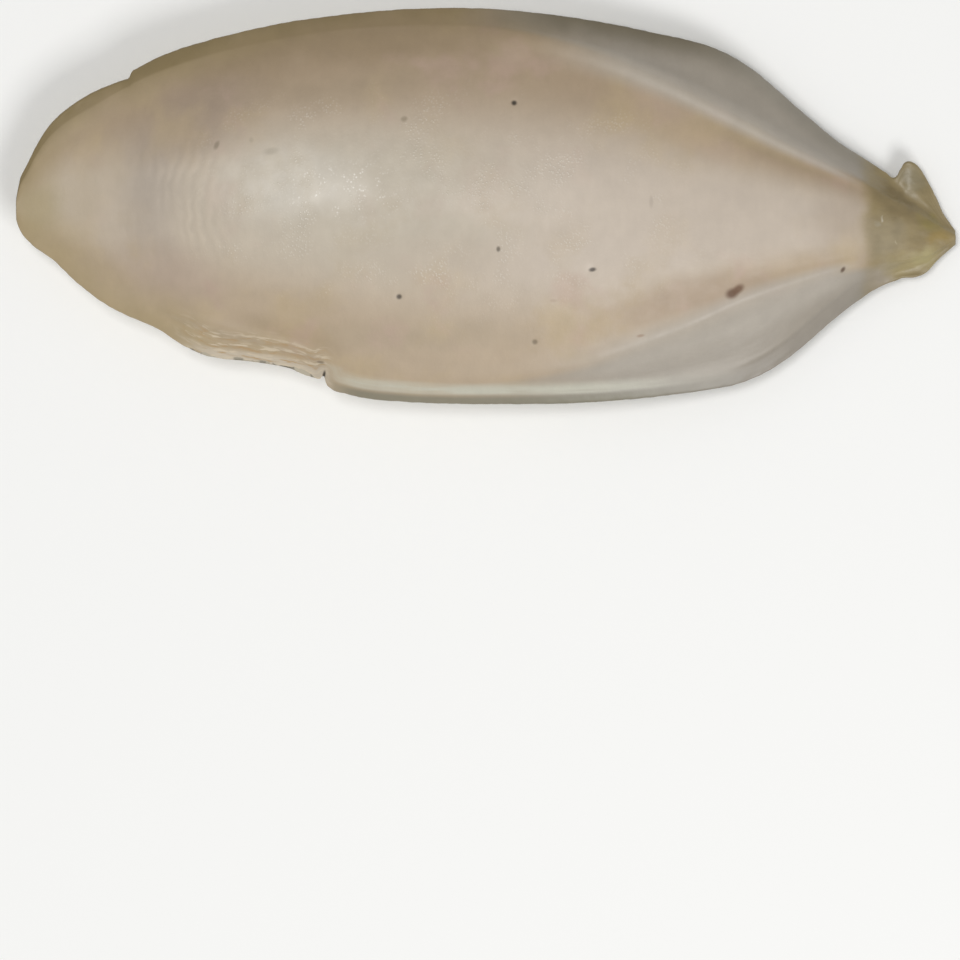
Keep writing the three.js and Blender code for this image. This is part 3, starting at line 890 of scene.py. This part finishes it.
def belly_chalk():
    """Porous aragonite chalk: matt, soft white, with grey lines along the edges of its thin layers. The
    smooth first chamber is creamier, and the horny margin shows all round."""
    material, skin = start_material("layered_belly_chalk")
    add = skin.add
    layers, layered = belly_layers(skin, RELIEF["Belly Line Spacing"])
    chamber = add(RANGE, {0: skin.x, **CHAMBER_RUN}, **SMOOTH)
    colour = paint(skin, linear(BELLY_CHALK), CHAMBER_CREAM, chamber)
    troughs = add(RANGE, {0: layers, **LAYER_TROUGHS}, **SMOOTH)
    colour = paint(skin, colour, LAYER_SHADE, troughs, layered, clouds(skin, LAYER_SHADE_SIZE))
    margin = add(RANGE, {0: skin.rim, **BELLY_MARGIN}, **SMOOTH)
    wings = add(RANGE, {0: skin.outward, **BELLY_WING_SIDE}, **SMOOTH)
    wings = product(skin, wings, add(RANGE, {0: skin.x, **BELLY_WING_RUN}))
    horn = add(MATH, {0: margin, 1: wings}, operation="MAXIMUM")
    colour = paint(skin, colour, BELLY_HORN, horn)
    tail = add(RANGE, {0: skin.x, **BELLY_TAIL_RUN}, **SMOOTH)
    colour = paint(skin, colour, BELLY_TAIL, tail)
    mottle = add(MATH, {0: uneven(skin, *BELLY_MOTTLE, detail=4.0), 1: 1.0}, operation="ADD")
    colour = add(VECTOR, {0: colour, "Scale": mottle}, operation="SCALE")
    pores = product(skin, clouds(skin, PORE_WIDTH, detail=3.0), PORE_HEIGHT)
    roughness = add(RANGE, {0: clouds(skin, CHALK_SIZE), **CHALK_ROUGHNESS})
    return finish_material(material, colour, roughness, pores)


# The studio, in metres

FLOOR_HALF_SIDE = 3.0
FLOOR_WHITE = "#f8f8f6"
FLOOR_ROUGHNESS = 0.9
KEY_PLACE = (0.45, -0.65, 1.0)
KEY_SIZE = 0.5
KEY_WATTS = 6.0
OVERHEAD_PLACE = (-0.22, 0.11, 1.5)
OVERHEAD_SIZE = 0.45
OVERHEAD_WATTS = 8.0
ROOM_WHITE = "#ffffff"
ROOM_STRENGTH = 0.35


def studio_floor():
    """A plain pale floor."""
    half = FLOOR_HALF_SIDE
    mesh = bpy.data.meshes.new("studio_floor")
    corners = [(-half, -half, 0), (half, -half, 0), (half, half, 0), (-half, half, 0)]
    mesh.from_pydata(corners, [], [(0, 1, 2, 3)])
    floor = bpy.data.objects.new("studio_floor", mesh)
    bpy.context.scene.collection.objects.link(floor)
    material = bpy.data.materials.new("matt_white_paper")
    material.use_nodes = True
    shader = material.node_tree.nodes["Principled BSDF"]
    shader.inputs["Base Color"].default_value = linear(FLOOR_WHITE)
    shader.inputs["Roughness"].default_value = FLOOR_ROUGHNESS
    mesh.materials.append(material)


def soft_light(name, place, size, watts):
    """A square soft light that faces the bone."""
    light = bpy.data.lights.new(name, "AREA")
    light.size = size
    light.energy = watts
    lamp = bpy.data.objects.new(name, light)
    lamp.location = place
    lamp.rotation_euler = (-Vector(place)).to_track_quat("-Z", "Y").to_euler()
    lamp.visible_camera = False
    bpy.context.scene.collection.objects.link(lamp)


def studio_light():
    """A key from the south and the tail, a light overhead whose glint falls on the front of the back, and
    an even white room."""
    soft_light("key", KEY_PLACE, KEY_SIZE, KEY_WATTS)
    soft_light("overhead", OVERHEAD_PLACE, OVERHEAD_SIZE, OVERHEAD_WATTS)
    world = bpy.data.worlds.new("white_room")
    world.use_nodes = True
    room = world.node_tree.nodes["Background"]
    room.inputs["Color"].default_value = linear(ROOM_WHITE)
    room.inputs["Strength"].default_value = ROOM_STRENGTH
    bpy.context.scene.world = world
    bpy.context.scene.view_settings.view_transform = "Standard"


def photo_camera():
    """A camera straight above the middle of the photograph's frame."""
    lens = bpy.data.cameras.new("photo_camera")
    lens.lens = CAMERA_LENS_MM
    lens.sensor_width = CAMERA_SENSOR_MM
    camera = bpy.data.objects.new("photo_camera", lens)
    frame_side = PHOTO_SIDE_PX / PHOTO_PX_PER_MM
    height = RIM_LEVEL + frame_side * CAMERA_LENS_MM / CAMERA_SENSOR_MM
    camera.location = Vector((*PHOTO_MIDDLE, height)) * MM
    bpy.context.scene.collection.objects.link(camera)
    bpy.context.scene.camera = camera


photo_camera()
studio_floor()
studio_light()
bone = cuttlebone_piece(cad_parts["cuttlebone"], shell_back(), belly_chalk())
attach(bone, "root")
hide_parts("cuttlebone")
